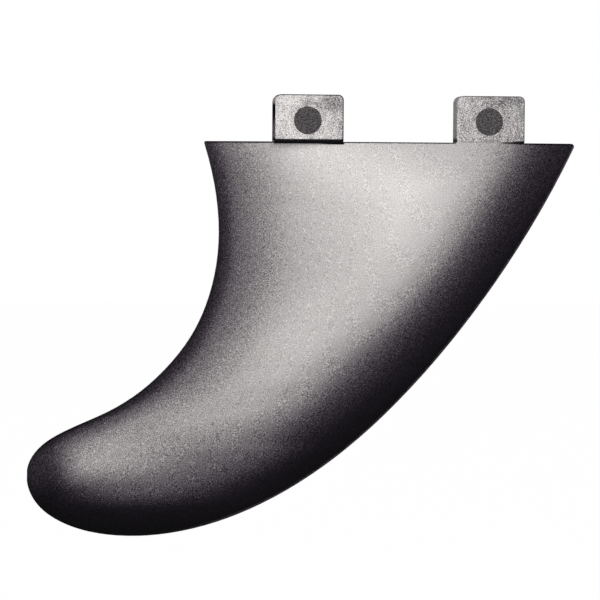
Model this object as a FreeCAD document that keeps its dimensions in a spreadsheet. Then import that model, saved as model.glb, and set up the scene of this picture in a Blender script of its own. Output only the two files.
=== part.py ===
# Surfboard side fin: one moulding of a swept blade and two square tabs, with a round inlay
# in the outer face of each tab.
# Millimetres. +X runs forward to the leading edge, +Y to the flat inner face, +Z up through
# the tabs. The origin is midway between the tabs, on the base that meets the board.

import FreeCAD, Part
import math
import os

import Sketcher

VECTOR = FreeCAD.Vector
Z_AXIS = VECTOR(0, 0, 1)
NEAR = 1e-4

# Driving dimensions: alias, value, what it is. A drop is measured down from the base.
DIMENSIONS = [
    ("base_front", 53.7, "front corner of the base"),
    ("lead_1_x", 37.9, "first pole of the leading edge"),
    ("lead_1_drop", 33.8, "first pole of the leading edge"),
    ("lead_2_x", -11.8, "second pole of the leading edge"),
    ("lead_2_drop", 100.5, "second pole of the leading edge"),
    ("lead_3_x", -80.7, "third pole of the leading edge"),
    ("lead_3_drop", 123.8, "third pole of the leading edge"),
    ("lead_4_drop", 109.7, "last pole of the leading edge, straight under the tip"),
    ("base_rear", -57.5, "rear corner of the base"),
    ("trail_1_x", -50.9, "first pole of the trailing edge"),
    ("trail_1_drop", 20.6, "first pole of the trailing edge"),
    ("trail_2_x", -53.9, "second pole of the trailing edge"),
    ("trail_2_drop", 49.6, "second pole of the trailing edge"),
    ("trail_3_x", -69.2, "third pole of the trailing edge"),
    ("trail_3_drop", 69.2, "third pole of the trailing edge"),
    ("trail_4_x", -85.3, "fourth pole of the trailing edge"),
    ("trail_4_drop", 81.4, "fourth pole of the trailing edge"),
    ("trail_5_drop", 88.8, "last pole of the trailing edge, straight over the tip"),
    ("tip_x", -109.1, "rearmost point of the tip"),
    ("tip_drop", 98.4, "rearmost point of the tip"),
    ("base_thickness", 6.8, "thickest part of the foil at the base"),
    ("upper_thickness", 5.2, "first inner pole of the thickness along the span"),
    ("lower_thickness", 3.6, "second inner pole of the thickness along the span"),
    ("tip_thickness", 0.9, "thickness of the foil at the tip"),
    ("crest_share", 0.33, "share of the chord from the leading edge to the thickest part"),
    ("base_nose_radius", 1.2, "radius of the leading edge at the base"),
    ("tip_nose_radius", 0.3, "radius of the leading edge at the tip"),
    ("base_edge_thickness", 0.9, "thickness of the trailing edge at the base"),
    ("tip_edge_thickness", 0.5, "thickness of the trailing edge at the tip"),
    ("front_corner_radius", 1.1, "rounding of the front corner of the base"),
    ("rear_corner_radius", 0.5, "rounding of the rear corner of the base"),
    ("tab_spacing", 54.0, "between the middles of the two tabs"),
    ("tab_length", 20.5, "length of a tab, fore and aft"),
    ("tab_height", 13.8, "height of a tab above the base"),
    ("tab_thickness", 6.3, "thickness of a tab, half to each side of the origin"),
    ("tab_root", 0.6, "how far the foot of a tab laps the blade below the base"),
    ("tab_rear_radius", 2.1, "upper rear corner of a tab"),
    ("tab_front_radius", 1.6, "upper front corner of a tab"),
    ("tab_foot_radius", 1.1, "rounded foot of the rear tab, which stands proud of the blade"),
    ("relief_length", 8.1, "relief under the front of the front tab, along its outer side"),
    ("relief_height", 0.65, "top of the relief above the base, at its front"),
    ("relief_depth", 0.65, "reach of the relief under the tab at the base, at its front"),
    ("tab_edge_radius", 0.4, "softened edges round both faces of a tab"),
    ("disc_diameter", 8.1, "diameter of an inlay"),
    ("disc_thickness", 0.8, "thickness of an inlay, flush with the face of its tab"),
    ("disc_clearance", 0.05, "between an inlay and the wall of its recess"),
    ("disc_drop", 7.6, "middle of an inlay below the top of its tab"),
    ("disc_shift", 0.4, "middle of an inlay behind the middle of its tab"),
]

# Poles of the curves that run along the span, in order from the base to the tip
LEAD_X = ["base_front", "lead_1_x", "lead_2_x", "lead_3_x", "tip_x", "tip_x"]
LEAD_DROP = ["0", "lead_1_drop", "lead_2_drop", "lead_3_drop", "lead_4_drop", "tip_drop"]
TRAIL_X = ["base_rear", "trail_1_x", "trail_2_x", "trail_3_x", "trail_4_x", "tip_x", "tip_x"]
TRAIL_DROP = ["0"] + [f"trail_{pole}_drop" for pole in range(1, 6)] + ["tip_drop"]
THICKNESS = ["base_thickness", "upper_thickness", "lower_thickness", "tip_thickness"]

# Foil sections along the span, closer together towards the base and the tip. The last one, at
# this share of the span, leaves a small land at the tip.
SECTION_COUNT = 13
LAST_SHARE = 0.985

# Each tab, and the side of the origin that it stands on
TABS = {"rear_tab": -1, "front_tab": 1}

document = FreeCAD.newDocument("surfboard_fin")
sheet = document.addObject("Spreadsheet::Sheet", "Sizes")


# Sheet of sizes

def spline_weights(count, station):
    """Shares of the poles of a clamped cubic curve at a station from 0 to 1."""
    spans = count - 3
    knots = [0.0] * 4 + [knot / spans for knot in range(1, spans)] + [1.0] * 4
    weights = [float(knots[k] <= station < knots[k + 1]) for k in range(len(knots) - 1)]
    for degree in range(1, 4):
        raised = []
        for k in range(len(weights) - 1):
            rise = knots[k + degree] - knots[k]
            fall = knots[k + degree + 1] - knots[k + 1]
            share = (station - knots[k]) / rise * weights[k] if rise else 0.0
            if fall:
                share += (knots[k + degree + 1] - station) / fall * weights[k + 1]
            raised.append(share)
        weights = raised
    return weights


def blend(poles, station):
    """Formula of a value that follows a smooth curve through the span."""
    weights = spline_weights(len(poles), station)
    return " + ".join(f"{share:.9f} * {pole}" for share, pole in zip(weights, poles))


def grade(at_base, at_tip, station):
    """Formula of a value that changes evenly from base to tip."""
    return f"{1 - station:.9f} * {at_base} + {station:.9f} * {at_tip}"


def span_stations():
    """Stations of the sections, from the base at 0 to the land at the tip."""
    step = math.pi / (SECTION_COUNT - 1)
    return [LAST_SHARE * (1 - math.cos(index * step)) / 2 for index in range(SECTION_COUNT)]


def section_rows(index, station):
    """Rows of the sheet that work out one foil section: its chord line and its thicknesses."""
    run = f"(front_x_{index} - rear_x_{index})"
    fall = f"(front_drop_{index} - rear_drop_{index})"
    return [
        (f"front_x_{index}", f"={blend(LEAD_X, station)}", "leading end of the chord"),
        (f"front_drop_{index}", f"={blend(LEAD_DROP, station)}", "leading end of the chord"),
        (f"rear_x_{index}", f"={blend(TRAIL_X, station)}", "trailing end of the chord"),
        (f"rear_drop_{index}", f"={blend(TRAIL_DROP, station)}", "trailing end of the chord"),
        (f"chord_{index}", f"=sqrt({run}^2 + {fall}^2)", "length of the chord"),
        (f"turn_{index}", f"=atan2({fall}; {run})", "slope of the chord"),
        (f"thickness_{index}", f"={blend(THICKNESS, station)}", "thickness at the crest"),
        (f"nose_{index}", f"={grade('base_nose_radius', 'tip_nose_radius', station)}", "nose radius"),
        (f"edge_{index}", f"={grade('base_edge_thickness', 'tip_edge_thickness', station)}",
         "thickness of the trailing edge"),
    ]


def corner_rows():
    """Rows of the sheet that work out the rounded front corner of the base."""
    return [
        ("front_slope", "=atan2(lead_1_drop; base_front - lead_1_x)", "leading edge at the base"),
        ("corner_touch", "=front_corner_radius / tan(front_slope / 2)", "from corner to arc"),
    ]


def fill_sheet():
    """Write every row: its note, its value or formula, and its alias."""
    rows = [(alias, str(value), note) for alias, value, note in DIMENSIONS]
    for index, station in enumerate(span_stations()):
        rows += section_rows(index, station)
    rows += corner_rows()
    for row, (alias, content, note) in enumerate(rows, 1):
        sheet.set(f"A{row}", note)
        sheet.set(f"B{row}", content)
        sheet.setAlias(f"B{row}", alias)
    document.recompute()


def size(alias):
    """The present value of a cell."""
    return float(getattr(sheet, alias))


# Sketches and features

def new_body(name):
    """Body with the name of its sub-part."""
    body = document.addObject("PartDesign::Body", name)
    body.Label = name
    return body


def new_sketch(body, name, role):
    """Sketch on one of the body's own origin planes."""
    plane = next(feature for feature in body.Origin.OriginFeatures if feature.Role == role)
    sketch = body.newObject("Sketcher::SketchObject", name)
    sketch.AttachmentSupport = [(plane, "")]
    sketch.MapMode = "FlatFace"
    return sketch


def bind(sketch, kind, *arguments, formula):
    """Sketch dimension that follows a formula of the sheet. Its last argument is its value now."""
    index = sketch.addConstraint(Sketcher.Constraint(kind, *arguments))
    sketch.setExpression(f"Constraints[{index}]", formula)


def join_ends(sketch, kinds, edges):
    """Join the edges of a closed outline in turn, each by its own kind of constraint."""
    for kind, edge, following in zip(kinds, edges, edges[1:] + edges[:1]):
        sketch.addConstraint(Sketcher.Constraint(kind, edge, 2, following, 1))


def add_pad(body, name, sketch, length, both_sides=False):
    """Pad a sketch by a formula of the sheet."""
    pad = body.newObject("PartDesign::Pad", name)
    pad.Profile = sketch
    pad.Midplane = both_sides
    pad.setExpression("Length", length)
    document.recompute()


def add_pocket(body, name, sketch, length=None):
    """Cut a sketch into the body, right through both ways unless a length is given."""
    volume = body.Tip.Shape.Volume
    pocket = body.newObject("PartDesign::Pocket", name)
    pocket.Profile = sketch
    if length:
        pocket.setExpression("Length", length)
    else:
        pocket.Type = "ThroughAll"
        pocket.Midplane = True
    document.recompute()
    if pocket.Shape.Volume >= volume:
        raise RuntimeError(f"{name} cuts nothing")


def add_fillet(body, name, test, radius):
    """Round those edges of the body whose middle and ends pass a test."""
    base = body.Tip
    names = []
    for number, edge in enumerate(base.Shape.Edges, 1):
        first, last = edge.FirstParameter, edge.LastParameter
        if test(edge.valueAt((first + last) / 2), [edge.valueAt(first), edge.valueAt(last)]):
            names.append(f"Edge{number}")
    fillet = body.newObject("PartDesign::Fillet", name)
    fillet.Base = (base, names)
    fillet.setExpression("Radius", radius)
    document.recompute()


# Tabs

def draw_tab(sketch, side):
    """Upright rectangle with two rounded upper corners."""
    rear_radius = size("tab_rear_radius")
    front_radius = size("tab_front_radius")
    foot_z = -size("tab_root")
    top_z = size("tab_height")
    rear_x = side * size("tab_spacing") / 2 - size("tab_length") / 2
    front_x = rear_x + size("tab_length")
    rear_centre = VECTOR(rear_x + rear_radius, top_z - rear_radius)
    front_centre = VECTOR(front_x - front_radius, top_z - front_radius)

    edges = sketch.addGeometry([
        Part.LineSegment(VECTOR(rear_x, foot_z), VECTOR(front_x, foot_z)),
        Part.LineSegment(VECTOR(front_x, foot_z), VECTOR(front_x, front_centre.y)),
        Part.ArcOfCircle(Part.Circle(front_centre, Z_AXIS, front_radius), 0, math.pi / 2),
        Part.LineSegment(VECTOR(front_centre.x, top_z), VECTOR(rear_centre.x, top_z)),
        Part.ArcOfCircle(Part.Circle(rear_centre, Z_AXIS, rear_radius), math.pi / 2, math.pi),
        Part.LineSegment(VECTOR(rear_x, rear_centre.y), VECTOR(rear_x, foot_z)),
    ], False)
    edges = list(edges)
    foot, front_wall, front_round, top, rear_round, rear_wall = edges
    join_ends(sketch, ["Coincident"] + ["Tangent"] * 4 + ["Coincident"], edges)
    for kind, edge in [("Horizontal", foot), ("Horizontal", top),
                       ("Vertical", front_wall), ("Vertical", rear_wall)]:
        sketch.addConstraint(Sketcher.Constraint(kind, edge))
    bind(sketch, "Radius", rear_round, rear_radius, formula="Sizes.tab_rear_radius")
    bind(sketch, "Radius", front_round, front_radius, formula="Sizes.tab_front_radius")
    bind(sketch, "DistanceX", foot, 1, foot, 2, front_x - rear_x, formula="Sizes.tab_length")
    bind(sketch, "DistanceX", -1, 1, foot, 1, rear_x,
         formula=f"{side} * Sizes.tab_spacing / 2 - Sizes.tab_length / 2")
    bind(sketch, "DistanceY", foot, 1, -1, 1, -foot_z, formula="Sizes.tab_root")
    bind(sketch, "DistanceY", -1, 1, top, 1, top_z, formula="Sizes.tab_height")


def add_relief(body):
    """Sloping cut under the outer side of the front tab, where the blade draws back from it.
    It starts at nothing and grows towards the front wall of the tab. Its profile goes past
    the tab in front and below, because the cut gets narrower as it goes in."""
    rise = size("relief_height") / size("relief_length")
    ahead_x = size("tab_spacing") / 2 + size("tab_length") / 2 + 2 * size("relief_height")
    ahead_z = size("relief_height") + 2 * size("relief_height") * rise
    low_z = -size("tab_root") - 3 * size("relief_height")
    low_x = ahead_x - (ahead_z - low_z) / rise

    sketch = new_sketch(body, "ReliefProfile", "XZ_Plane")
    sketch.setExpression("AttachmentOffset.Base.z", "Sizes.tab_thickness / 2")
    slope, front, low = sketch.addGeometry([
        Part.LineSegment(VECTOR(low_x, low_z), VECTOR(ahead_x, ahead_z)),
        Part.LineSegment(VECTOR(ahead_x, ahead_z), VECTOR(ahead_x, low_z)),
        Part.LineSegment(VECTOR(ahead_x, low_z), VECTOR(low_x, low_z)),
    ], False)
    join_ends(sketch, ["Coincident"] * 3, [slope, front, low])
    sketch.addConstraint(Sketcher.Constraint("Vertical", front))
    sketch.addConstraint(Sketcher.Constraint("Horizontal", low))
    bind(sketch, "DistanceX", -1, 1, front, 1, ahead_x,
         formula="Sizes.tab_spacing / 2 + Sizes.tab_length / 2 + 2 * Sizes.relief_height")
    bind(sketch, "DistanceY", -1, 1, front, 1, ahead_z,
         formula="Sizes.relief_height * (1 + 2 * Sizes.relief_height / Sizes.relief_length)")
    bind(sketch, "DistanceY", low, 1, -1, 1, -low_z,
         formula="Sizes.tab_root + 3 * Sizes.relief_height")
    bind(sketch, "Angle", low, 2, slope, 1, math.atan(rise),
         formula="atan(Sizes.relief_height / Sizes.relief_length)")
    add_pocket(body, "Relief", sketch, "2 * Sizes.relief_depth")
    body.Tip.setExpression("TaperAngle", "-atan(Sizes.relief_height / Sizes.relief_depth)")
    document.recompute()


def add_tabs(body):
    """Both tabs, with softened edges, a rounded foot behind and a relief in front."""
    sketch = new_sketch(body, "TabProfiles", "XZ_Plane")
    for side in TABS.values():
        draw_tab(sketch, side)
    add_pad(body, "Tabs", sketch, "Sizes.tab_thickness", both_sides=True)
    face = size("tab_thickness") / 2
    foot = -size("tab_root")
    foot_top = foot + size("tab_foot_radius")

    def is_outer_foot(middle, ends):
        at_foot = all(abs(end.y + face) < NEAR and abs(end.z - foot) < NEAR for end in ends)
        return at_foot and middle.x < 0

    def is_round_a_face(middle, ends):
        on_face = all(abs(abs(point.y) - face) < NEAR for point in [middle] + ends)
        return on_face and middle.z > foot_top + NEAR

    add_fillet(body, "TabFoot", is_outer_foot, "Sizes.tab_foot_radius")
    add_fillet(body, "TabEdges", is_round_a_face, "Sizes.tab_edge_radius")
    add_relief(body)


# Blade

def add_section(body, index):
    """Foil section: a flat inside, a round nose, a curved outside and a blunt rear edge.
    The nose is two arcs that meet at its foremost point."""
    inner = size("tab_thickness") / 2
    chord = size(f"chord_{index}")
    thickness = size(f"thickness_{index}")
    nose = size(f"nose_{index}")
    edge = size(f"edge_{index}")
    crest = chord * (1 - size("crest_share"))
    reach = chord - nose - crest
    shoulder = (reach**2 + thickness**2 - 2 * thickness * nose) / (2 * (thickness - 2 * nose))
    rear = (crest**2 + (thickness - edge) ** 2) / (2 * (thickness - edge))
    nose_centre = VECTOR(chord - nose, inner - nose)
    shoulder_centre = VECTOR(crest, inner - thickness + shoulder)
    rear_centre = VECTOR(crest, inner - thickness + rear)
    nose_angle = math.atan2(nose_centre.y - shoulder_centre.y, reach)
    rear_angle = math.pi + math.atan2(rear_centre.y - inner + edge, crest)

    sketch = new_sketch(body, f"Section{index}", "XY_Plane")
    sketch.AttachmentOffset = FreeCAD.Placement(VECTOR(), FreeCAD.Rotation(VECTOR(0, 1, 0), 1))
    sketch.setExpression("AttachmentOffset.Base.x", f"Sizes.rear_x_{index}")
    sketch.setExpression("AttachmentOffset.Base.z", f"-Sizes.rear_drop_{index}")
    sketch.setExpression("AttachmentOffset.Rotation.Angle", f"Sizes.turn_{index}")
    flat, inner_nose, outer_nose, front_curve, rear_curve, rear_edge = sketch.addGeometry([
        Part.LineSegment(VECTOR(0, inner), VECTOR(chord - nose, inner)),
        Part.ArcOfCircle(Part.Circle(nose_centre, Z_AXIS, nose), 0, math.pi / 2),
        Part.ArcOfCircle(Part.Circle(nose_centre, Z_AXIS, nose), nose_angle, 0),
        Part.ArcOfCircle(Part.Circle(shoulder_centre, Z_AXIS, shoulder), -math.pi / 2, nose_angle),
        Part.ArcOfCircle(Part.Circle(rear_centre, Z_AXIS, rear), rear_angle, 1.5 * math.pi),
        Part.LineSegment(VECTOR(0, inner - edge), VECTOR(0, inner)),
    ], False)
    sketch.addConstraint([
        Sketcher.Constraint("Tangent", flat, 2, inner_nose, 2),
        Sketcher.Constraint("Coincident", inner_nose, 1, outer_nose, 2),
        Sketcher.Constraint("Coincident", inner_nose, 3, outer_nose, 3),
        Sketcher.Constraint("Horizontal", inner_nose, 3, inner_nose, 1),
        Sketcher.Constraint("Tangent", outer_nose, 1, front_curve, 2),
        Sketcher.Constraint("Tangent", front_curve, 1, rear_curve, 2),
        Sketcher.Constraint("Coincident", rear_curve, 1, rear_edge, 1),
        Sketcher.Constraint("Coincident", rear_edge, 2, flat, 1),
        Sketcher.Constraint("Horizontal", flat),
        Sketcher.Constraint("Vertical", rear_edge),
        Sketcher.Constraint("PointOnObject", flat, 1, -2),
        Sketcher.Constraint("Vertical", front_curve, 3, front_curve, 1),
    ])
    bind(sketch, "DistanceY", -1, 1, flat, 1, inner, formula="Sizes.tab_thickness / 2")
    bind(sketch, "Radius", inner_nose, nose, formula=f"Sizes.nose_{index}")
    bind(sketch, "DistanceX", -1, 1, inner_nose, 3, nose_centre.x,
         formula=f"Sizes.chord_{index} - Sizes.nose_{index}")
    bind(sketch, "DistanceX", -1, 1, front_curve, 1, crest,
         formula=f"Sizes.chord_{index} * (1 - Sizes.crest_share)")
    bind(sketch, "DistanceY", front_curve, 1, flat, 1, thickness,
         formula=f"Sizes.thickness_{index}")
    bind(sketch, "DistanceY", rear_edge, 1, flat, 1, edge, formula=f"Sizes.edge_{index}")
    return sketch


def add_blade(body):
    """Swept blade: a loft through foil sections that fan out from the base to the tip."""
    sections = [add_section(body, index) for index in range(SECTION_COUNT)]
    loft = body.newObject("PartDesign::AdditiveLoft", "Blade")
    loft.Profile = sections[0]
    loft.Sections = sections[1:]
    document.recompute()


def round_front_corner(body):
    """Cut away what lies outside an arc that touches the base and the leading edge."""
    radius = size("front_corner_radius")
    corner = size("base_front")
    slope = math.radians(size("front_slope"))
    centre = VECTOR(corner - size("corner_touch"), -radius)
    low = centre + VECTOR(math.sin(slope), -math.cos(slope)) * radius
    right = corner + radius

    sketch = new_sketch(body, "FrontCornerProfile", "XZ_Plane")
    edges = list(sketch.addGeometry([
        Part.ArcOfCircle(Part.Circle(centre, Z_AXIS, radius), slope - math.pi / 2, math.pi / 2),
        Part.LineSegment(VECTOR(centre.x, 0), VECTOR(centre.x, radius)),
        Part.LineSegment(VECTOR(centre.x, radius), VECTOR(right, radius)),
        Part.LineSegment(VECTOR(right, radius), VECTOR(right, low.y)),
        Part.LineSegment(VECTOR(right, low.y), low),
    ], False))
    arc, rise, over, fall, back = edges
    join_ends(sketch, ["Coincident"] * 5, edges)
    for kind, edge in [("Vertical", rise), ("Horizontal", over),
                       ("Vertical", fall), ("Horizontal", back)]:
        sketch.addConstraint(Sketcher.Constraint(kind, edge))
    sketch.addConstraint(Sketcher.Constraint("Vertical", arc, 3, arc, 2))
    bind(sketch, "Radius", arc, radius, formula="Sizes.front_corner_radius")
    bind(sketch, "DistanceY", arc, 3, -1, 1, radius, formula="Sizes.front_corner_radius")
    bind(sketch, "DistanceX", -1, 1, arc, 3, centre.x,
         formula="Sizes.base_front - Sizes.corner_touch")
    bind(sketch, "DistanceX", arc, 3, arc, 1, low.x - centre.x,
         formula="Sizes.front_corner_radius * sin(Sizes.front_slope)")
    bind(sketch, "DistanceY", -1, 1, rise, 2, radius, formula="Sizes.front_corner_radius")
    bind(sketch, "DistanceX", -1, 1, over, 2, right,
         formula="Sizes.base_front + Sizes.front_corner_radius")
    add_pocket(body, "FrontCorner", sketch)


def round_rear_corner(body):
    """Round the edge where the base meets the blunt trailing edge."""
    corner = size("base_rear")

    def is_rear_corner(middle, ends):
        return all(abs(end.x - corner) < NEAR and abs(end.z) < NEAR for end in ends)

    add_fillet(body, "RearCorner", is_rear_corner, "Sizes.rear_corner_radius")


# Inlays

def add_recesses(body):
    """Flat-bottomed round recess for an inlay in the outer face of each tab."""
    sketch = new_sketch(body, "RecessProfiles", "XZ_Plane")
    sketch.setExpression("AttachmentOffset.Base.z", "Sizes.tab_thickness / 2")
    radius = size("disc_diameter") / 2 + size("disc_clearance")
    middle_z = size("tab_height") - size("disc_drop")
    for side in TABS.values():
        middle_x = side * size("tab_spacing") / 2 - size("disc_shift")
        circle = sketch.addGeometry(Part.Circle(VECTOR(middle_x, middle_z), Z_AXIS, radius), False)
        bind(sketch, "Radius", circle, radius,
             formula="Sizes.disc_diameter / 2 + Sizes.disc_clearance")
        bind(sketch, "DistanceX", -1, 1, circle, 3, middle_x,
             formula=f"{side} * Sizes.tab_spacing / 2 - Sizes.disc_shift")
        bind(sketch, "DistanceY", -1, 1, circle, 3, middle_z,
             formula="Sizes.tab_height - Sizes.disc_drop")
    document.recompute()
    add_pocket(body, "Recesses", sketch, "Sizes.disc_thickness")


def add_disc(name, side):
    """Inlay that sits on the bottom of its recess, flush with the face of its tab."""
    body = new_body(name)
    sketch = new_sketch(body, f"{name}_profile", "XZ_Plane")
    radius = size("disc_diameter") / 2
    circle = sketch.addGeometry(Part.Circle(VECTOR(), Z_AXIS, radius), False)
    sketch.addConstraint(Sketcher.Constraint("Coincident", circle, 3, -1, 1))
    bind(sketch, "Radius", circle, radius, formula="Sizes.disc_diameter / 2")
    add_pad(body, f"{name}_pad", sketch, "Sizes.disc_thickness")
    body.setExpression("Placement.Base.x", f"{side} * Sizes.tab_spacing / 2 - Sizes.disc_shift")
    body.setExpression("Placement.Base.y", "Sizes.disc_thickness - Sizes.tab_thickness / 2")
    body.setExpression("Placement.Base.z", "Sizes.tab_height - Sizes.disc_drop")
    return body


# Model

def add_fin():
    """Blade and both tabs as one piece."""
    body = new_body("fin_body")
    body.AllowCompound = True
    add_tabs(body)
    add_blade(body)
    round_front_corner(body)
    round_rear_corner(body)
    add_recesses(body)
    return body


def check_model(parts):
    """Stop if anything in the document failed or a sub-part isn't one sound solid."""
    for item in document.Objects:
        if "Invalid" in item.State or "Error" in item.State:
            raise RuntimeError(f"{item.Name} failed: {item.State}")
    for part in parts:
        if part.Shape.isNull() or not part.Shape.isValid() or len(part.Shape.Solids) != 1:
            raise RuntimeError(f"{part.Label} isn't one sound solid")


def export_model(parts):
    """Write each sub-part under its own name."""
    os.makedirs("parts", exist_ok=True)
    for part in parts:
        part.Shape.exportStep(f"parts/{part.Label}.step")
        print(f"{part.Label}: {part.Shape.Volume:.1f} mm3, {len(part.Shape.Faces)} faces")


fill_sheet()
parts = [add_fin()] + [add_disc(f"{name}_disc", side) for name, side in TABS.items()]
document.recompute()
check_model(parts)
export_model(parts)
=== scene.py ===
"""Looks of a surfboard side fin: one swept moulding with a foiled outer face, a flat inner face,
two square tabs, and a plain round inlay in each tab. Lengths are in metres, except where a
docstring or comment says millimetres."""

import logging
import math
from dataclasses import dataclass, field
from enum import Enum
from typing import Sequence

import bpy
import numpy as np
from mathutils import Matrix, Vector

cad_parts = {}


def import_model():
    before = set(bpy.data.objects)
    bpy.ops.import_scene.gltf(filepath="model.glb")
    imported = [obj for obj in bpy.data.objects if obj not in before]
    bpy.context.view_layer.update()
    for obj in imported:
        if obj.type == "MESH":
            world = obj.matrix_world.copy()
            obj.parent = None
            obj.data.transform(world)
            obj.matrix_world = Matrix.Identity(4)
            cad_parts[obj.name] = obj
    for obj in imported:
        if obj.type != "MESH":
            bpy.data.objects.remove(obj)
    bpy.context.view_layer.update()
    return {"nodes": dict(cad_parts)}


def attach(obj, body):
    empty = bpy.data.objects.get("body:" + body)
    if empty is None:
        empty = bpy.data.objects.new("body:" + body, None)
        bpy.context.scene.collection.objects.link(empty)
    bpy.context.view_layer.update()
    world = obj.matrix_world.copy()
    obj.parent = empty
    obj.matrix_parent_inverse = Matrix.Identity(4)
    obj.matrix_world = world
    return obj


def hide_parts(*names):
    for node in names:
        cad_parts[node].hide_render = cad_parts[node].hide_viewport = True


LOG = logging.getLogger("fin")
MM = 0.001
TINY = 1e-9
NOISE_MIDDLE = 0.5
KEPT_NORMAL = "kept_normal"

# Points of a curve; steps along the axes (axis, where 0, where 1); places and screen colours.
Pairs = tuple[tuple[float, float], ...]
Steps = tuple[tuple[str, float, float], ...]
Tones = tuple[tuple[float, tuple[int, int, int]], ...]


class Gap(Enum):
    """Distances that are kept on the moulding's points, in millimetres."""

    FRONT = "front_gap"
    REAR = "rear_gap"


def from_screen(red: float, green: float, blue: float) -> tuple[float, float, float, float]:
    """Turn a colour as a screen shows it, 0 to 255, into the linear colour of a material.

    Args:
        red: red on the screen.
        green: green on the screen.
        blue: blue on the screen.

    Returns:
        The linear colour, with full alpha.
    """

    def linear(level: float) -> float:
        """Linear value of one channel."""
        share = level / 255
        return share / 12.92 if share <= 0.04045 else ((share + 0.055) / 1.055) ** 2.4

    return linear(red), linear(green), linear(blue), 1.0


class Graph:
    """Node graph of one material or world, with short calls for the nodes that this file uses."""

    def __init__(self, tree: bpy.types.NodeTree) -> None:
        """Take an empty node tree.

        Args:
            tree: the node tree to fill. What it holds is removed.
        """
        self.tree = tree
        tree.nodes.clear()

    def node(self, kind: str, **settings: object) -> bpy.types.Node:
        """Add a node.

        Args:
            kind: the node's type, without the word ShaderNode.
            **settings: properties to set on it.

        Returns:
            The new node.
        """
        made = self.tree.nodes.new("ShaderNode" + kind)
        for name, value in settings.items():
            setattr(made, name, value)
        return made

    def put(self, socket: bpy.types.NodeSocket, value: object) -> None:
        """Link another node's output to a socket, or set the socket's own value."""
        if isinstance(value, bpy.types.NodeSocket):
            self.tree.links.new(value, socket)
        else:
            socket.default_value = value

    def math(self, operation: str, *values: object, clamp: bool = False) -> bpy.types.NodeSocket:
        """Add a math node.

        Args:
            operation: its operation.
            *values: numbers or sockets, in the order of its inputs.
            clamp: keep the answer between 0 and 1.

        Returns:
            Its output.
        """
        made = self.node("Math", operation=operation, use_clamp=clamp)
        for socket, value in zip(made.inputs, values):
            self.put(socket, value)
        return made.outputs[0]

    def ramp(self, value: object, start: float, end: float, low: float = 0.0,
             high: float = 1.0) -> bpy.types.NodeSocket:
        """Smooth step from low to high while the value goes from start to end.

        Args:
            value: the driving number or socket.
            start: where the step begins.
            end: where it ends.
            low: the result before it.
            high: the result after it.

        Returns:
            The stepped value.
        """
        made = self.node("MapRange", interpolation_type="SMOOTHSTEP")
        for name, item in (("Value", value), ("From Min", start), ("From Max", end),
                           ("To Min", low), ("To Max", high)):
            self.put(made.inputs[name], item)
        return made.outputs["Result"]

    def curve(self, value: object, points: Sequence[tuple[float, float]]) -> bpy.types.NodeSocket:
        """Read a curve through the given points.

        Args:
            value: the driving number or socket, in the points' own unit.
            points: pairs of input and result, in order of the input.

        Returns:
            The curve's result.
        """
        first, last = points[0][0], points[-1][0]
        share = self.math("DIVIDE", self.math("SUBTRACT", value, first), last - first, clamp=True)
        made = self.node("FloatCurve")
        line = made.mapping.curves[0]
        for _ in range(len(points) - 2):
            line.points.new(0.5, 0.5)
        for point, (where, result) in zip(line.points, points):
            point.location = ((where - first) / (last - first), result)
            point.handle_type = "AUTO_CLAMPED"
        made.mapping.update()
        self.put(made.inputs["Value"], share)
        return made.outputs[0]

    def noise(self, where: object, pitch: float, detail: float = 1.0) -> bpy.types.NodeSocket:
        """Noise between 0 and 1.

        Args:
            where: the coordinates.
            pitch: rough size of one grain, in the coordinates' unit.
            detail: how many finer layers are added.

        Returns:
            The noise value.
        """
        made = self.node("TexNoise", noise_dimensions="3D")
        self.put(made.inputs["Vector"], where)
        self.put(made.inputs["Scale"], 1 / pitch)
        self.put(made.inputs["Detail"], detail)
        return made.outputs["Fac"]

    def gradient(self, value: object, stops: Tones) -> bpy.types.NodeSocket:
        """Colour ramp.

        Args:
            value: the driving number or socket, 0 to 1.
            stops: pairs of place and colour as a screen shows it, 0 to 255.

        Returns:
            The colour.
        """
        made = self.node("ValToRGB")
        line = made.color_ramp
        while len(line.elements) < len(stops):
            line.elements.new(0.5)
        for element, (place, colour) in zip(line.elements, stops):
            element.position = place
            element.color = from_screen(*colour)
        self.put(made.inputs["Fac"], value)
        return made.outputs["Color"]

    def bump(self, height: object, depth: float, strength: float) -> bpy.types.NodeSocket:
        """Bump normal from a height between 0 and 1.

        Args:
            height: the height.
            depth: height of 1, in metres.
            strength: share of the bump that shows.

        Returns:
            The normal.
        """
        made = self.node("Bump")
        self.put(made.inputs["Height"], height)
        self.put(made.inputs["Distance"], depth)
        self.put(made.inputs["Strength"], strength)
        return made.outputs["Normal"]

    def surface(self, colour: object, roughness: object, normal: object,
                **settings: object) -> None:
        """Finish a material with its shader and output.

        Args:
            colour: base colour.
            roughness: roughness.
            normal: normal.
            **settings: the shader's other inputs, with _ for the spaces in their names.
        """
        shader = self.node("BsdfPrincipled")
        self.put(shader.inputs["Base Color"], colour)
        self.put(shader.inputs["Roughness"], roughness)
        self.put(shader.inputs["Normal"], normal)
        for name, value in settings.items():
            self.put(shader.inputs[name.replace("_", " ")], value)
        output = self.node("OutputMaterial")
        self.put(output.inputs["Surface"], shader.outputs[0])

    def axes(self, vector: object) -> bpy.types.Node:
        """Add the node that gives a vector's coordinates one by one."""
        made = self.node("SeparateXYZ")
        self.put(made.inputs[0], vector)
        return made

    def length(self, first: object, second: object) -> bpy.types.NodeSocket:
        """Length of the vector with these two parts."""
        squares = [self.math("MULTIPLY", part, part) for part in (first, second)]
        return self.math("SQRT", self.math("ADD", *squares))

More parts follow.
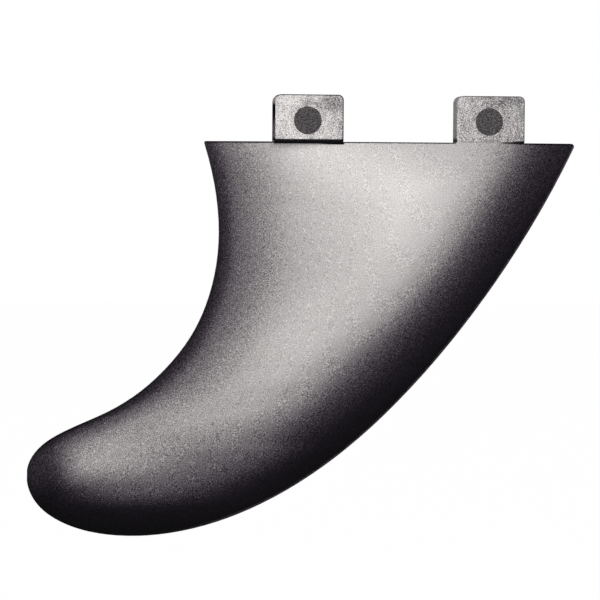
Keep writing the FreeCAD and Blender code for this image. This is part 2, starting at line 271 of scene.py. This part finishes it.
    def within(self, axes: bpy.types.Node, steps: Steps) -> bpy.types.NodeSocket:
        """Product of smooth steps along the axes, 1 in a soft region and 0 outside it.

        Args:
            axes: node that gives the coordinates one by one.
            steps: for each step its axis, where it is still 0 and where it has come to 1.

        Returns:
            The share, 0 to 1.
        """
        axis, start, end = steps[0]
        share = self.ramp(axes.outputs[axis], start, end)
        for axis, start, end in steps[1:]:
            share = self.math("MULTIPLY", share, self.ramp(axes.outputs[axis], start, end))
        return share

    def waver(self, where: object, pitch: float, reach: float,
              detail: float = 1.0) -> bpy.types.NodeSocket:
        """Noise between minus its reach and its reach.

        Args:
            where: the coordinates.
            pitch: rough size of one grain, in the coordinates' unit.
            reach: the most that it adds or takes away.
            detail: how many finer layers are added.

        Returns:
            The noise value.
        """
        return self.math("MULTIPLY_ADD", self.noise(where, pitch, detail), 2 * reach, -reach)

    def seen(self) -> bpy.types.NodeSocket:
        """1 for rays that show a surface to the camera, and 0 for those that only light it."""
        path = self.node("LightPath")
        return self.math("MAXIMUM", path.outputs["Is Camera Ray"],
                         self.math("MAXIMUM", path.outputs["Is Glossy Ray"],
                                   path.outputs["Is Transmission Ray"]))


def new_material(name: str) -> tuple[bpy.types.Material, Graph]:
    """Make a material with an empty graph.

    Args:
        name: the material's name.

    Returns:
        The material and its graph.
    """
    material = bpy.data.materials.new(name)
    material.use_nodes = True
    return material, Graph(material.node_tree)


@dataclass(frozen=True)
class Glow:
    """Soft oval, in millimetres, in which the tone is brighter, or darker where its strength
    is negative."""

    strength: float
    centre: tuple[float, float]
    radii: tuple[float, float]
    turn: float

    def add(self, graph: Graph, across: object, height: object) -> bpy.types.NodeSocket:
        """Brightness that the oval gives, from its strength in the middle to 0 at its rim.

        Args:
            graph: the material's graph.
            across: place fore and aft, in millimetres.
            height: height, in millimetres.

        Returns:
            The brightness.
        """
        along = graph.math("SUBTRACT", across, self.centre[0])
        up = graph.math("SUBTRACT", height, self.centre[1])
        cosine, sine = math.cos(self.turn), math.sin(self.turn)
        parts = []
        for radius, (first, second) in zip(self.radii, ((cosine, sine), (-sine, cosine))):
            parts.append(graph.math("MULTIPLY_ADD", along, first / radius,
                                    graph.math("MULTIPLY", up, second / radius)))
        return graph.ramp(graph.length(*parts), 1.0, 0.0, 0.0, self.strength)


def add_glows(graph: Graph, tone: object, glows: Sequence[Glow], across: object,
              height: object) -> object:
    """Add the brightness of several glows to a tone.

    Args:
        graph: the material's graph.
        tone: the tone without them.
        glows: the glows.
        across: place fore and aft, in millimetres.
        height: height, in millimetres.

    Returns:
        The tone with them.
    """
    for glow in glows:
        tone = graph.math("ADD", tone, glow.add(graph, across, height))
    return tone


@dataclass(frozen=True)
class FadeAndPaintedLightMoulding:
    """Charcoal moulded plastic with a silver-grey middle on its faces that fades to dark edges:
    partly a two-tone coat, partly painted reflection and painted shade of the curved foil.

    The places in the fade-and-shade curves, paces, ridge, shade, glows, tab and wall tones are in
    millimetres, as are tab_middle, inlay_place and edge_gap. Such a curve is read at the distance
    from its edge times the pace at that height. Everything else that is a length is in metres.
    """

    name: str = "fade_and_painted_light"
    # Silver middle against distance from the leading and the trailing edge: partly a two-tone
    # coat, partly painted reflection and painted shade.
    front_fade_and_shade: Pairs = (
        (0, 0.0), (3, 0.05), (6, 0.085), (9, 0.157), (12, 0.266), (15, 0.436), (18, 0.628),
        (21, 0.761), (24, 0.87), (28, 0.934), (34, 1.0))
    front_pace: Pairs = (
        (-116, 0.05), (-109, 0.404), (-102, 0.683), (-95, 0.719), (-87, 0.505), (-78, 0.446),
        (-65, 0.406), (-50, 0.452), (-30, 0.486), (-18, 0.47), (-8, 0.507), (0, 0.511))
    front_pace_unit: float = 2.0
    rear_fade_and_shade: Pairs = (
        (0, 0.07), (1.5, 0.195), (3, 0.379), (5, 0.485), (8, 0.62), (12, 0.786), (16, 0.866),
        (22, 0.924), (30, 1.0))
    rear_pace: Pairs = (
        (-116, 0.45), (-104, 0.495), (-97, 0.693), (-91, 0.718), (-86, 0.368), (-81, 0.182),
        (-76, 0.108), (-70, 0.078), (-62, 0.069), (-52, 0.072), (-38, 0.07), (-20, 0.0718),
        (0, 0.065))
    rear_pace_unit: float = 8.0
    # Tone of the silver middle (ridge) and of the dark edges (shade) by height, both partly
    # painted light.
    ridge: Pairs = (
        (-116, 0.496), (-108, 0.575), (-101, 0.448), (-95, 0.405), (-89, 0.567), (-83, 0.697),
        (-74, 0.855), (-64, 0.975), (-52, 0.898), (-36, 0.859), (-18, 0.885), (-6, 0.79),
        (0, 0.77))
    shade: Pairs = (
        (-116, 0.0), (-85, 0.0), (-70, 0.008), (-50, 0.02), (-25, 0.042), (0, 0.086))
    # Painted highlights on the silver middle (ridge_glows) and on the dark plastic (shade_glows):
    # at the tip, along the base and inside the trailing edge.
    ridge_glows: tuple[Glow, ...] = (
        Glow(0.28, (-96.0, -94.7), (50.0, 9.0), 0.05),
        Glow(0.258, (-38.4, 0.0), (60.0, 16.1), -0.197))
    shade_glows: tuple[Glow, ...] = (
        Glow(0.11, (-107.0, -96.5), (8.0, 13.0), 0.0),
        Glow(0.13, (-72.0, -78.8), (26.0, 3.6), 0.464))
    # Tone along the tabs' faces as lit, with painted shade lines at their front edges; tab_glows
    # adds darker patches and a painted highlight along the front tab's rear edge.
    tab_tone: Pairs = (
        (-37.4, 0.86), (-33, 0.87), (-27, 0.82), (-22, 0.80), (-19.5, 0.77), (-18, 0.68),
        (-17.2, 0.66), (-16.8, 0.36), (-16, 0.36), (16, 0.72), (20, 0.70), (25, 0.66),
        (30, 0.64), (36.8, 0.62), (37.3, 0.40))
    tab_glows: tuple[Glow, ...] = (
        Glow(-0.13, (-27.5, 11.5), (5.5, 3.6), 0.0), Glow(-0.26, (-21.0, 11.2), (5.5, 4.2), 0.0),
        Glow(-0.17, (-36.5, 1.0), (4.0, 4.5), 0.0), Glow(0.14, (17.3, 4.5), (0.6, 8.0), 0.0),
        Glow(-0.13, (31.0, 12.3), (9.0, 3.2), 0.0))
    # Painted light and shade on the tabs' walls: each wall gets a tone of its own by how it is
    # lit.
    wall_tone: Pairs = (
        (-37.5, 0.06), (-30, 0.14), (-16.8, 0.18), (10, 0.40), (16.6, 0.58), (20, 0.40),
        (37.5, 0.18))
    mottle: tuple[float, float] = (0.0035, 0.12)
    coarse: tuple[float, float] = (0.0006, 0.22)
    tab_middle: float = 27.0
    inlay_place: tuple[float, float] = (-0.4, 6.2)
    rubbing: float = 0.22
    rubbing_scale: tuple[float, float, float] = (1.6, 1.8, 0.05)
    outer_side: tuple[float, float] = (0.0, -0.002)
    tab_start: tuple[float, float] = (0.0, 0.0004)
    blade_facing: tuple[float, float] = (0.55, 0.85)
    tab_facing: tuple[float, float] = (0.90, 0.995)

    # Dark rim along the base: its depth, where it deepens (rim_fade is in shares of the depth),
    # and where it is missing.
    rim_depth: tuple[float, float] = (0.00045, 0.00065)
    rim_front: tuple[float, float] = (0.030, 0.045)
    rim_rear: tuple[float, float] = (-0.036, -0.040)
    rim_rear_extra: float = 0.00015
    rim_fade: tuple[float, float] = (1.0, 0.45)
    rim_share: float = 0.85
    base_top: float = 0.00005
    inner_limit: float = 0.0028
    flush_foot: Steps = (("X", 0.0160, 0.0170), ("X", 0.0360, 0.0286))

    # Painted shade at the foot of the rear tab, where it stands proud of the blade.
    foot_shade: Steps = (
        ("Z", 0.00085, 0.0006), ("X", -0.0162, -0.0168), ("Z", -0.00085, -0.00072),
        ("Y", -0.0018, -0.0022))

    # Painted highlight along the leading edge's rim, and painted light and shade on the tabs'
    # walls. wall_base ends with two tones.
    edge_gap: Pairs = ((0.1, 0.4), (1.0, 0.6))
    edge_reach: tuple[float, float] = (-0.075, -0.045)
    edge_highlight: float = 0.16
    wall_foot: Steps = (("Z", 0.0085, 0.0035), ("X", -0.036, -0.037))
    foot_tone: float = 0.28
    wall_corner: Steps = (
        ("Z", 0.0100, 0.0120), ("Z", 0.0137, 0.0132), ("X", -0.033, -0.034))
    corner_tone: float = 0.6
    wall_base: tuple[float, float, float, float] = (0.0002, 0.0018, 0.2, 1.0)

    # Grain, colours and shine.
    grain_pitch: float = 0.00024
    grain_spread: Pairs = (
        (0.0, 0.10), (0.08, 0.22), (0.14, 0.36), (0.30, 0.48), (0.43, 0.50), (0.55, 0.59),
        (0.66, 0.43), (0.80, 0.34), (1.0, 0.30))
    grain_unit: float = 2.0
    tab_grain: float = 1.9
    grain_depth: float = 0.00003
    grain_strength: float = 0.35
    tones: Tones = (
        (0.00, (2, 1, 2)), (0.08, (21, 18, 24)), (0.17, (46, 40, 47)), (0.30, (78, 72, 79)),
        (0.45, (116, 112, 115)), (0.60, (154, 150, 150)), (0.75, (193, 189, 188)),
        (0.85, (218, 214, 213)), (1.00, (255, 252, 250)))
    roughness: tuple[float, float] = (0.4, 0.5)
    sheen: float = 0.04
    sheen_reach: tuple[float, float] = (-0.095, -0.045)

    def build(self) -> bpy.types.Material:
        """Make the material.

        Returns:
            The material.
        """
        material, graph = new_material(self.name)
        place = graph.node("TexCoord")
        where = place.outputs["Object"]
        axes = graph.axes(where)
        across, height = (graph.math("DIVIDE", axes.outputs[axis], MM) for axis in "XZ")
        on_tab = graph.ramp(axes.outputs["Z"], *self.tab_start)
        facing = self.add_facing(graph, place.outputs["Normal"], on_tab)
        # Dark line along the base's rim, and painted shade at the rear tab's foot.
        clear_of_rim_and_shade = self.add_rim_and_foot_shade(graph, axes)

        # The silver middle goes dark where the faces turn away: painted shade on top of the
        # two-tone coat.
        fade_and_shading = graph.math("MAXIMUM", self.add_fade_and_shading(graph, height), on_tab)
        fade_and_shading = graph.math("MULTIPLY", graph.math("MULTIPLY", fade_and_shading, facing), clear_of_rim_and_shade)
        light = add_glows(graph, graph.curve(height, self.ridge), self.ridge_glows, across, height)
        light = self.add_tab_tone(graph, where, axes, light, on_tab)
        shade = add_glows(graph, graph.curve(height, self.shade), self.shade_glows, across, height)
        shade = self.add_rim_and_walls(graph, axes, shade, on_tab, facing)
        shade = graph.math("MULTIPLY", shade, clear_of_rim_and_shade)
        span = graph.math("SUBTRACT", light, shade)
        plain = graph.math("MULTIPLY_ADD", span, fade_and_shading, shade)

        grain = graph.noise(where, self.grain_pitch)
        spread = self.add_grain_spread(graph, plain, on_tab, facing)
        speckle = graph.math("SUBTRACT", grain, NOISE_MIDDLE)
        tone = graph.math("MULTIPLY_ADD", speckle, spread, plain, clamp=True)
        low, high = self.roughness
        roughness = graph.math("MULTIPLY_ADD", fade_and_shading, high - low, low)
        normal = graph.bump(grain, self.grain_depth, self.grain_strength)
        graph.surface(graph.gradient(tone, self.tones), roughness, normal,
                      Specular_IOR_Level=self.add_sheen(graph, axes, on_tab, facing))
        return material

    def add_grain_spread(self, graph: Graph, plain: object, on_tab: object,
                         facing: object) -> bpy.types.NodeSocket:
        """Strength of the grain: it follows the tone on the blade and is even on the tabs.

        Args:
            graph: the material's graph.
            plain: tone without grain.
            on_tab: 1 on the tabs, 0 on the blade.
            facing: 1 where the surface faces to a side of the fin.

        Returns:
            The strength.
        """
        spread = graph.math("MULTIPLY", graph.curve(plain, self.grain_spread), self.grain_unit)
        more = graph.math("SUBTRACT", self.tab_grain, spread)
        more = graph.math("MULTIPLY", more, graph.math("MULTIPLY", on_tab, facing))
        return graph.math("ADD", spread, more)

    def add_sheen(self, graph: Graph, axes: bpy.types.Node, on_tab: object,
                  facing: object) -> bpy.types.NodeSocket:
        """Strength of the mirror reflection: none on the tabs' walls and the tip's rim.

        Args:
            graph: the material's graph.
            axes: node that gives the object coordinates one by one.
            on_tab: 1 on the tabs, 0 on the blade.
            facing: 1 where the surface faces to a side of the fin.

        Returns:
            The strength.
        """
        along = graph.ramp(axes.outputs["X"], *self.sheen_reach, 0.0, self.sheen)
        rim = graph.math("MULTIPLY", along, graph.math("SUBTRACT", 1.0, on_tab))
        return graph.math("MAXIMUM", rim, graph.math("MULTIPLY", facing, self.sheen))

    def add_fade_and_shading(self, graph: Graph, height: object) -> bpy.types.NodeSocket:
        """Share of the silver-grey middle on the blade, from the distances to its two edges:
        partly a two-tone coat, partly painted reflection and painted shade.

        Args:
            graph: the material's graph.
            height: height along the blade, in millimetres.

        Returns:
            The share, 0 to 1.
        """
        shares = []
        for gap, fade_and_shading, pace, unit in (
                (Gap.FRONT, self.front_fade_and_shade, self.front_pace, self.front_pace_unit),
                (Gap.REAR, self.rear_fade_and_shade, self.rear_pace, self.rear_pace_unit)):
            near = graph.node("Attribute", attribute_name=gap.value)
            speed = graph.math("MULTIPLY", graph.curve(height, pace), unit)
            shares.append(graph.curve(graph.math("MULTIPLY", near.outputs["Fac"], speed), fade_and_shading))
        return graph.math("MULTIPLY", *shares)

    def add_tab_tone(self, graph: Graph, where: object, axes: bpy.types.Node, ridge: object,
                     on_tab: object) -> bpy.types.NodeSocket:
        """Tone of the silver middle, partly painted reflection: that of the ridge on the blade,
        and a mottled one on the tabs.

        Args:
            graph: the material's graph.
            where: object coordinates.
            axes: node that gives them one by one.
            ridge: tone of the blade's ridge at this place.
            on_tab: 1 on the tabs, 0 on the blade.

        Returns:
            The tone.
        """
        across, height = (graph.math("DIVIDE", axes.outputs[axis], MM) for axis in "XZ")
        outer = graph.ramp(axes.outputs["Y"], *self.outer_side)
        marks = graph.math("MULTIPLY", self.add_rubbing(graph, across, height), outer)
        coarse = graph.math("ADD", graph.waver(where, *self.coarse), marks)
        along = graph.curve(across, self.tab_tone)
        along = add_glows(graph, along, self.tab_glows, across, height)
        mottle = graph.math("ADD", graph.waver(where, *self.mottle), coarse)
        step = graph.math("SUBTRACT", graph.math("ADD", mottle, along), ridge)
        return graph.math("MULTIPLY_ADD", step, on_tab, ridge)

    def add_rubbing(self, graph: Graph, across: object, height: object) -> bpy.types.NodeSocket:
        """Faint rubbing marks that run round the inlays.

        Args:
            graph: the material's graph.
            across: place fore and aft, in millimetres.
            height: height, in millimetres.

        Returns:
            What they add to the tone.
        """
        shift, level = self.inlay_place
        aside = graph.math("ABSOLUTE", graph.math("SUBTRACT", across, shift))
        along = graph.math("SUBTRACT", aside, self.tab_middle)
        up = graph.math("SUBTRACT", height, level)
        turn = graph.math("ARCTAN2", up, along)
        place = graph.node("CombineXYZ")
        for axis, value, scale in zip("XYZ", (graph.length(along, up), turn, across),
                                      self.rubbing_scale):
            graph.put(place.inputs[axis], graph.math("MULTIPLY", value, scale))
        return graph.waver(place.outputs["Vector"], 1.0, self.rubbing, detail=2.0)

    def add_facing(self, graph: Graph, normal: object,
                   on_tab: object) -> bpy.types.NodeSocket:
        """1 where the surface faces to a side of the fin, and 0 on its edges and walls.

        Args:
            graph: the material's graph.
            normal: normal in object coordinates.
            on_tab: 1 on the tabs, 0 on the blade.

        Returns:
            The share.
        """
        sideways = graph.math("ABSOLUTE", graph.axes(normal).outputs["Y"])
        start, end = (graph.math("MULTIPLY_ADD", on_tab, tab - blade, blade)
                      for blade, tab in zip(self.blade_facing, self.tab_facing))
        return graph.ramp(sideways, start, end)

    def add_rim_and_foot_shade(self, graph: Graph, axes: bpy.types.Node) -> bpy.types.NodeSocket:
        """0 on a dark line along the rim of the base and on the painted shade at the foot of the
        rear tab.

        The front tab's foot is flush with the blade, so the rim is missing below it.

        Args:
            graph: the material's graph.
            axes: node that gives the object coordinates one by one.

        Returns:
            The share, 0 to 1.
        """
        across, height = axes.outputs["X"], axes.outputs["Z"]
        low = graph.math("ADD", graph.ramp(across, *self.rim_front, *self.rim_depth),
                         graph.ramp(across, *self.rim_rear, 0.0, self.rim_rear_extra))
        depth = graph.math("DIVIDE", graph.math("MULTIPLY", height, -1.0), low)
        below = graph.math("LESS_THAN", height, self.base_top)
        rim = graph.math("MULTIPLY", below, graph.ramp(depth, *self.rim_fade))
        flush = graph.within(axes, self.flush_foot)
        rim = graph.math("MULTIPLY", rim, graph.math("SUBTRACT", 1.0, flush))
        outside = graph.math("LESS_THAN", axes.outputs["Y"], self.inner_limit)
        rim = graph.math("MULTIPLY", graph.math("MULTIPLY", rim, outside), self.rim_share)
        # Painted shade under the rear tab's foot.
        foot = graph.within(axes, self.foot_shade)
        return graph.math("SUBTRACT", 1.0, graph.math("MAXIMUM", foot, rim))

    def add_rim_and_walls(self, graph: Graph, axes: bpy.types.Node, shade: object,
                          on_tab: object, facing: object) -> bpy.types.NodeSocket:
        """Tone of the dark plastic: a painted highlight along the leading edge's rim, and on the
        tabs' walls painted light and shade, a tone of their own, with a lighter top corner and
        foot on the rear tab's rear wall and a painted shade line where the walls meet the base.

        Args:
            graph: the material's graph.
            axes: node that gives the object coordinates one by one.
            shade: tone of the dark plastic on the blade, partly painted shade.
            on_tab: 1 on the tabs, 0 on the blade.
            facing: 1 where the surface faces to a side of the fin.

        Returns:
            The tone.
        """
        # Painted highlight along the leading edge's rim.
        gap = graph.node("Attribute", attribute_name=Gap.FRONT.value).outputs["Fac"]
        near = graph.math("MULTIPLY", *(graph.ramp(gap, *step) for step in self.edge_gap))
        near = graph.math("MULTIPLY", near, graph.ramp(axes.outputs["X"], *self.edge_reach))
        rim = graph.math("MULTIPLY_ADD", near, self.edge_highlight, shade)
        # Painted light and shade on the tabs' walls, lighter at the rear wall's top corner and
        # foot.
        walls = graph.curve(graph.math("DIVIDE", axes.outputs["X"], MM), self.wall_tone)
        low = graph.within(axes, self.wall_foot)
        walls = graph.math("MULTIPLY_ADD", low, self.foot_tone, walls)
        corner = graph.math("MULTIPLY", graph.within(axes, self.wall_corner), self.corner_tone)
        walls = graph.math("MAXIMUM", walls, corner)
        # Painted shade line where the walls meet the base.
        walls = graph.math("MULTIPLY", walls, graph.ramp(axes.outputs["Z"], *self.wall_base))
        inward = graph.math("MULTIPLY", on_tab, graph.math("SUBTRACT", 1.0, facing))
        step = graph.math("SUBTRACT", walls, rim)
        return graph.math("MULTIPLY_ADD", step, inward, rim)


@dataclass(frozen=True)
class MatteInlay:
    """Matte dark grey plastic of the round inlays."""

    name: str = "matte_inlay"
    grain_pitch: float = 0.0002
    grain_spread: float = 2.4
    grain_depth: float = 0.00003
    grain_strength: float = 0.4
    cloud_pitch: float = 0.003
    cloud_swing: float = 0.1
    cloud_tone: float = 0.42
    tones: Tones = ((0.0, (18, 17, 20)), (0.5, (63, 59, 62)), (1.0, (122, 118, 120)))
    roughness: float = 0.62
    sheen: float = 0.2

    def build(self) -> bpy.types.Material:
        """Make the material.

        Returns:
            The material.
        """
        material, graph = new_material(self.name)
        where = graph.node("TexCoord").outputs["Object"]
        grain = graph.noise(where, self.grain_pitch, detail=0.0)
        cloud = graph.math("MULTIPLY_ADD", graph.noise(where, self.cloud_pitch),
                           self.cloud_swing, self.cloud_tone)
        speckle = graph.math("SUBTRACT", grain, NOISE_MIDDLE)
        tone = graph.math("MULTIPLY_ADD", speckle, self.grain_spread, cloud, clamp=True)
        normal = graph.bump(grain, self.grain_depth, self.grain_strength)
        graph.surface(graph.gradient(tone, self.tones), self.roughness, normal,
                      Specular_IOR_Level=self.sheen)
        return material


@dataclass(frozen=True)
class PaleFloor:
    """Plain pale floor that looks white to the camera and keeps the object's shadow."""

    name: str = "pale_floor"
    grey: float = 0.86
    lift: float = 0.52

    def build(self) -> bpy.types.Material:
        """Make the material.

        Returns:
            The material.
        """
        material, graph = new_material(self.name)
        diffuse = graph.node("BsdfDiffuse")
        diffuse.inputs["Color"].default_value = (self.grey, self.grey, self.grey, 1.0)
        glow = graph.node("Emission")
        graph.put(glow.inputs["Strength"], graph.math("MULTIPLY", graph.seen(), self.lift))
        both = graph.node("AddShader")
        graph.put(both.inputs[0], diffuse.outputs[0])
        graph.put(both.inputs[1], glow.outputs[0])
        output = graph.node("OutputMaterial")
        graph.put(output.inputs["Surface"], both.outputs[0])
        return material


def only(*chosen: bpy.types.Object) -> None:
    """Select these objects and nothing else, and make the first one active."""
    bpy.ops.object.select_all(action="DESELECT")
    for item in chosen:
        item.select_set(True)
    bpy.context.view_layer.objects.active = chosen[0]


def dress(item: bpy.types.Object, material: bpy.types.Material) -> None:
    """Give an object one material."""
    item.data.materials.clear()
    item.data.materials.append(material)


def spline(poles: Sequence[tuple[float, float]], count: int = 240) -> np.ndarray:
    """Points on the cubic spline with these poles and even knots, clamped at both ends.

    Args:
        poles: its poles.
        count: how many points are wanted.

    Returns:
        The points, one to a row.
    """
    degree = 3
    spans = len(poles) - degree
    knots = [0.0] * degree + [step / spans for step in range(spans + 1)] + [1.0] * degree
    points = []
    for share in np.linspace(0.0, 1.0, count):
        place = min(share, 1.0 - TINY)
        span = degree + int(place * spans)
        row = [np.array(pole, float) for pole in poles[span - degree:span + 1]]
        for level in range(1, degree + 1):
            for index in range(degree, level - 1, -1):
                low = knots[span - degree + index]
                high = knots[span + 1 + index - level]
                weight = (place - low) / (high - low)
                row[index] = (1 - weight) * row[index - 1] + weight * row[index]
        points.append(row[degree])
    return np.array(points)


@dataclass
class Moulding:
    """The blade and its two tabs, one moulding. Poles and pitches are in millimetres."""

    node: bpy.types.Object
    finish: FadeAndPaintedLightMoulding = field(default_factory=FadeAndPaintedLightMoulding)
    lead: tuple[tuple[float, float], ...] = (
        (53.7, 0), (37.9, -33.8), (-11.8, -100.5), (-80.7, -123.8), (-109.1, -109.7),
        (-109.1, -98.4))
    trail: tuple[tuple[float, float], ...] = (
        (-57.5, 0), (-50.9, -20.6), (-53.9, -49.6), (-69.2, -69.2), (-85.3, -81.4),
        (-109.1, -88.8), (-109.1, -98.4))
    pitch: float = 3.0
    weld: float = 1e-6

    def build(self) -> bpy.types.Object:
        """Make the moulding's own mesh from the solid's and dress it.

        Returns:
            The piece.
        """
        piece = self.node.copy()
        piece.data = self.node.data.copy()
        piece.name = "fin_moulding"
        for key in list(piece.keys()):
            del piece[key]
        piece.parent = None
        piece.matrix_world = Matrix.Identity(4)
        bpy.context.scene.collection.objects.link(piece)
        self.keep_normals(piece.data)
        self.weld_and_divide(piece)
        self.restore_normals(piece.data)
        self.measure_gaps(piece.data)
        dress(piece, self.finish.build())
        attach(piece, "root")
        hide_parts("fin_body")
        return piece

    def keep_normals(self, mesh: bpy.types.Mesh) -> None:
        """Keep the smooth surface's normals on the corners while the mesh is divided."""
        normals = np.empty(len(mesh.loops) * 3, np.float32)
        mesh.corner_normals.foreach_get("vector", normals)
        kept = mesh.attributes.new(KEPT_NORMAL, "FLOAT_VECTOR", "CORNER")
        kept.data.foreach_set("vector", normals)

    def weld_and_divide(self, piece: bpy.types.Object) -> None:
        """Weld the solid's triangles and cut the blade along an even grid, so that what is
        kept on its points varies evenly."""
        low = Vector(map(min, zip(*(vertex.co for vertex in piece.data.vertices))))
        high = Vector(map(max, zip(*(vertex.co for vertex in piece.data.vertices))))
        step = self.pitch * MM
        only(piece)
        bpy.ops.object.mode_set(mode="EDIT")
        bpy.ops.mesh.select_all(action="SELECT")
        bpy.ops.mesh.remove_doubles(threshold=self.weld)
        for axis, end in ((0, high.x), (2, 0.0)):
            place = low[axis] + step / 2
            while place < end:
                at, along = Vector(), Vector()
                at[axis], along[axis] = place, 1.0
                bpy.ops.mesh.select_all(action="SELECT")
                bpy.ops.mesh.bisect(plane_co=at, plane_no=along)
                place += step
        bpy.ops.mesh.select_all(action="SELECT")
        bpy.ops.mesh.quads_convert_to_tris()
        bpy.ops.object.mode_set(mode="OBJECT")

    def restore_normals(self, mesh: bpy.types.Mesh) -> None:
        """Give the kept normals back to the corners."""
        kept = mesh.attributes[KEPT_NORMAL]
        normals = np.empty(len(mesh.loops) * 3, np.float32)
        kept.data.foreach_get("vector", normals)
        normals = normals.reshape(-1, 3)
        lengths = np.linalg.norm(normals, axis=1, keepdims=True)
        mesh.normals_split_custom_set((normals / np.maximum(lengths, TINY)).tolist())
        mesh.attributes.remove(mesh.attributes[KEPT_NORMAL])

    def measure_gaps(self, mesh: bpy.types.Mesh) -> None:
        """Keep each point's distance from the leading and the trailing edge."""
        places = np.empty(len(mesh.vertices) * 3, np.float32)
        mesh.vertices.foreach_get("co", places)
        flat = places.reshape(-1, 3)[:, [0, 2]] / MM
        for gap, poles in ((Gap.FRONT, self.lead), (Gap.REAR, self.trail)):
            edge = spline(poles)
            steps = np.linalg.norm(flat[:, None, :] - edge[None, :, :], axis=2)
            kept = mesh.attributes.new(gap.value, "FLOAT", "POINT")
            kept.data.foreach_set("value", steps.min(axis=1).astype(np.float32))


@dataclass
class Inlays:
    """The plain round inlays, flush in the outer faces of the tabs."""

    nodes: Sequence[bpy.types.Object]
    finish: MatteInlay = field(default_factory=MatteInlay)

    def build(self) -> list[bpy.types.Object]:
        """Dress both inlays.

        Returns:
            The dressed inlays.
        """
        material = self.finish.build()
        for node in self.nodes:
            dress(node, material)
        return list(self.nodes)


@dataclass(frozen=True)
class SoftLamp:
    """Soft square lamp that looks at a point of the fin."""

    name: str
    place: tuple[float, float, float]
    width: float
    power: float
    aim: tuple[float, float, float] = (-0.03, 0.0, -0.045)

    def build(self) -> bpy.types.Object:
        """Make the lamp.

        Returns:
            The lamp.
        """
        data = bpy.data.lights.new(self.name, "AREA")
        data.shape = "SQUARE"
        data.size = self.width
        data.energy = self.power
        lamp = bpy.data.objects.new(self.name, data)
        bpy.context.scene.collection.objects.link(lamp)
        lamp.location = self.place
        away = Vector(self.place) - Vector(self.aim)
        lamp.rotation_euler = away.to_track_quat("Z", "Y").to_euler()
        return lamp


@dataclass
class Studio:
    """Floor, lamps, surroundings and camera. Angles are in degrees and the camera's sensor is
    in millimetres."""

    floor_height: float = -1.3
    floor_width: float = 60.0
    ambient: float = 0.55
    lamps: tuple[SoftLamp, ...] = (
        SoftLamp("key_lamp", (0.5, -1.5, 1.3), 1.4, 16.0),
        SoftLamp("fill_lamp", (-1.2, -1.2, 0.3), 1.2, 5.0),
        SoftLamp("rear_lamp", (0.3, 1.7, 0.9), 1.4, 15.0))
    target: tuple[float, float, float] = (-0.0290, 0.0, -0.04663)
    distance: float = 0.882
    turn: float = 6.81
    rise: float = 2.34
    roll: float = 0.365
    view_width: float = 0.17688
    sensor_width: float = 36.0
    clip: tuple[float, float] = (0.05, 60.0)

    def build(self) -> None:
        """Make the whole studio."""
        self.add_floor()
        self.add_surroundings()
        for lamp in self.lamps:
            lamp.build()
        self.add_camera()

    def add_floor(self) -> None:
        """Pale floor below the fin."""
        bpy.ops.object.select_all(action="DESELECT")
        bpy.ops.mesh.primitive_plane_add(size=self.floor_width,
                                         location=(0.0, 0.0, self.floor_height))
        floor = bpy.context.active_object
        floor.name = "floor"
        dress(floor, PaleFloor().build())

    def add_surroundings(self) -> None:
        """White background for what is seen, and a soft grey light for the rest."""
        world = bpy.data.worlds.new("surroundings")
        bpy.context.scene.world = world
        world.use_nodes = True
        graph = Graph(world.node_tree)
        background = graph.node("Background")
        background.inputs["Color"].default_value = (1.0, 1.0, 1.0, 1.0)
        graph.put(background.inputs["Strength"],
                  graph.math("MULTIPLY_ADD", graph.seen(), 1.0 - self.ambient, self.ambient))
        output = graph.node("OutputWorld")
        graph.put(output.inputs["Surface"], background.outputs[0])

    def add_camera(self) -> None:
        """Camera at the photograph's angle."""
        turn, rise = math.radians(self.turn), math.radians(self.rise)
        target = Vector(self.target)
        away = Vector((-math.sin(turn) * math.cos(rise), -math.cos(turn) * math.cos(rise),
                       math.sin(rise)))
        data = bpy.data.cameras.new("camera")
        data.sensor_width = self.sensor_width
        data.lens = data.sensor_width * self.distance / self.view_width
        data.clip_start, data.clip_end = self.clip
        camera = bpy.data.objects.new("camera", data)
        bpy.context.scene.collection.objects.link(camera)
        camera.location = target + away * self.distance
        level = away.to_track_quat("Z", "Y").to_matrix()
        rolled = level @ Matrix.Rotation(math.radians(self.roll), 3, "Z")
        camera.rotation_euler = rolled.to_euler()
        bpy.context.scene.camera = camera


def main() -> None:
    """Build the fin's pieces in order, then the studio."""
    logging.basicConfig(level=logging.INFO, format="%(name)s: %(message)s")
    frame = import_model()
    nodes = frame["nodes"]
    moulding = Moulding(nodes["fin_body"]).build()
    LOG.info("moulding: %d points", len(moulding.data.vertices))
    for inlay in Inlays([nodes["rear_tab_disc"], nodes["front_tab_disc"]]).build():
        LOG.info("inlay: %s", inlay.name)
    Studio().build()
    bpy.context.scene.view_settings.view_transform = "Standard"


if __name__ == "__main__":
    main()
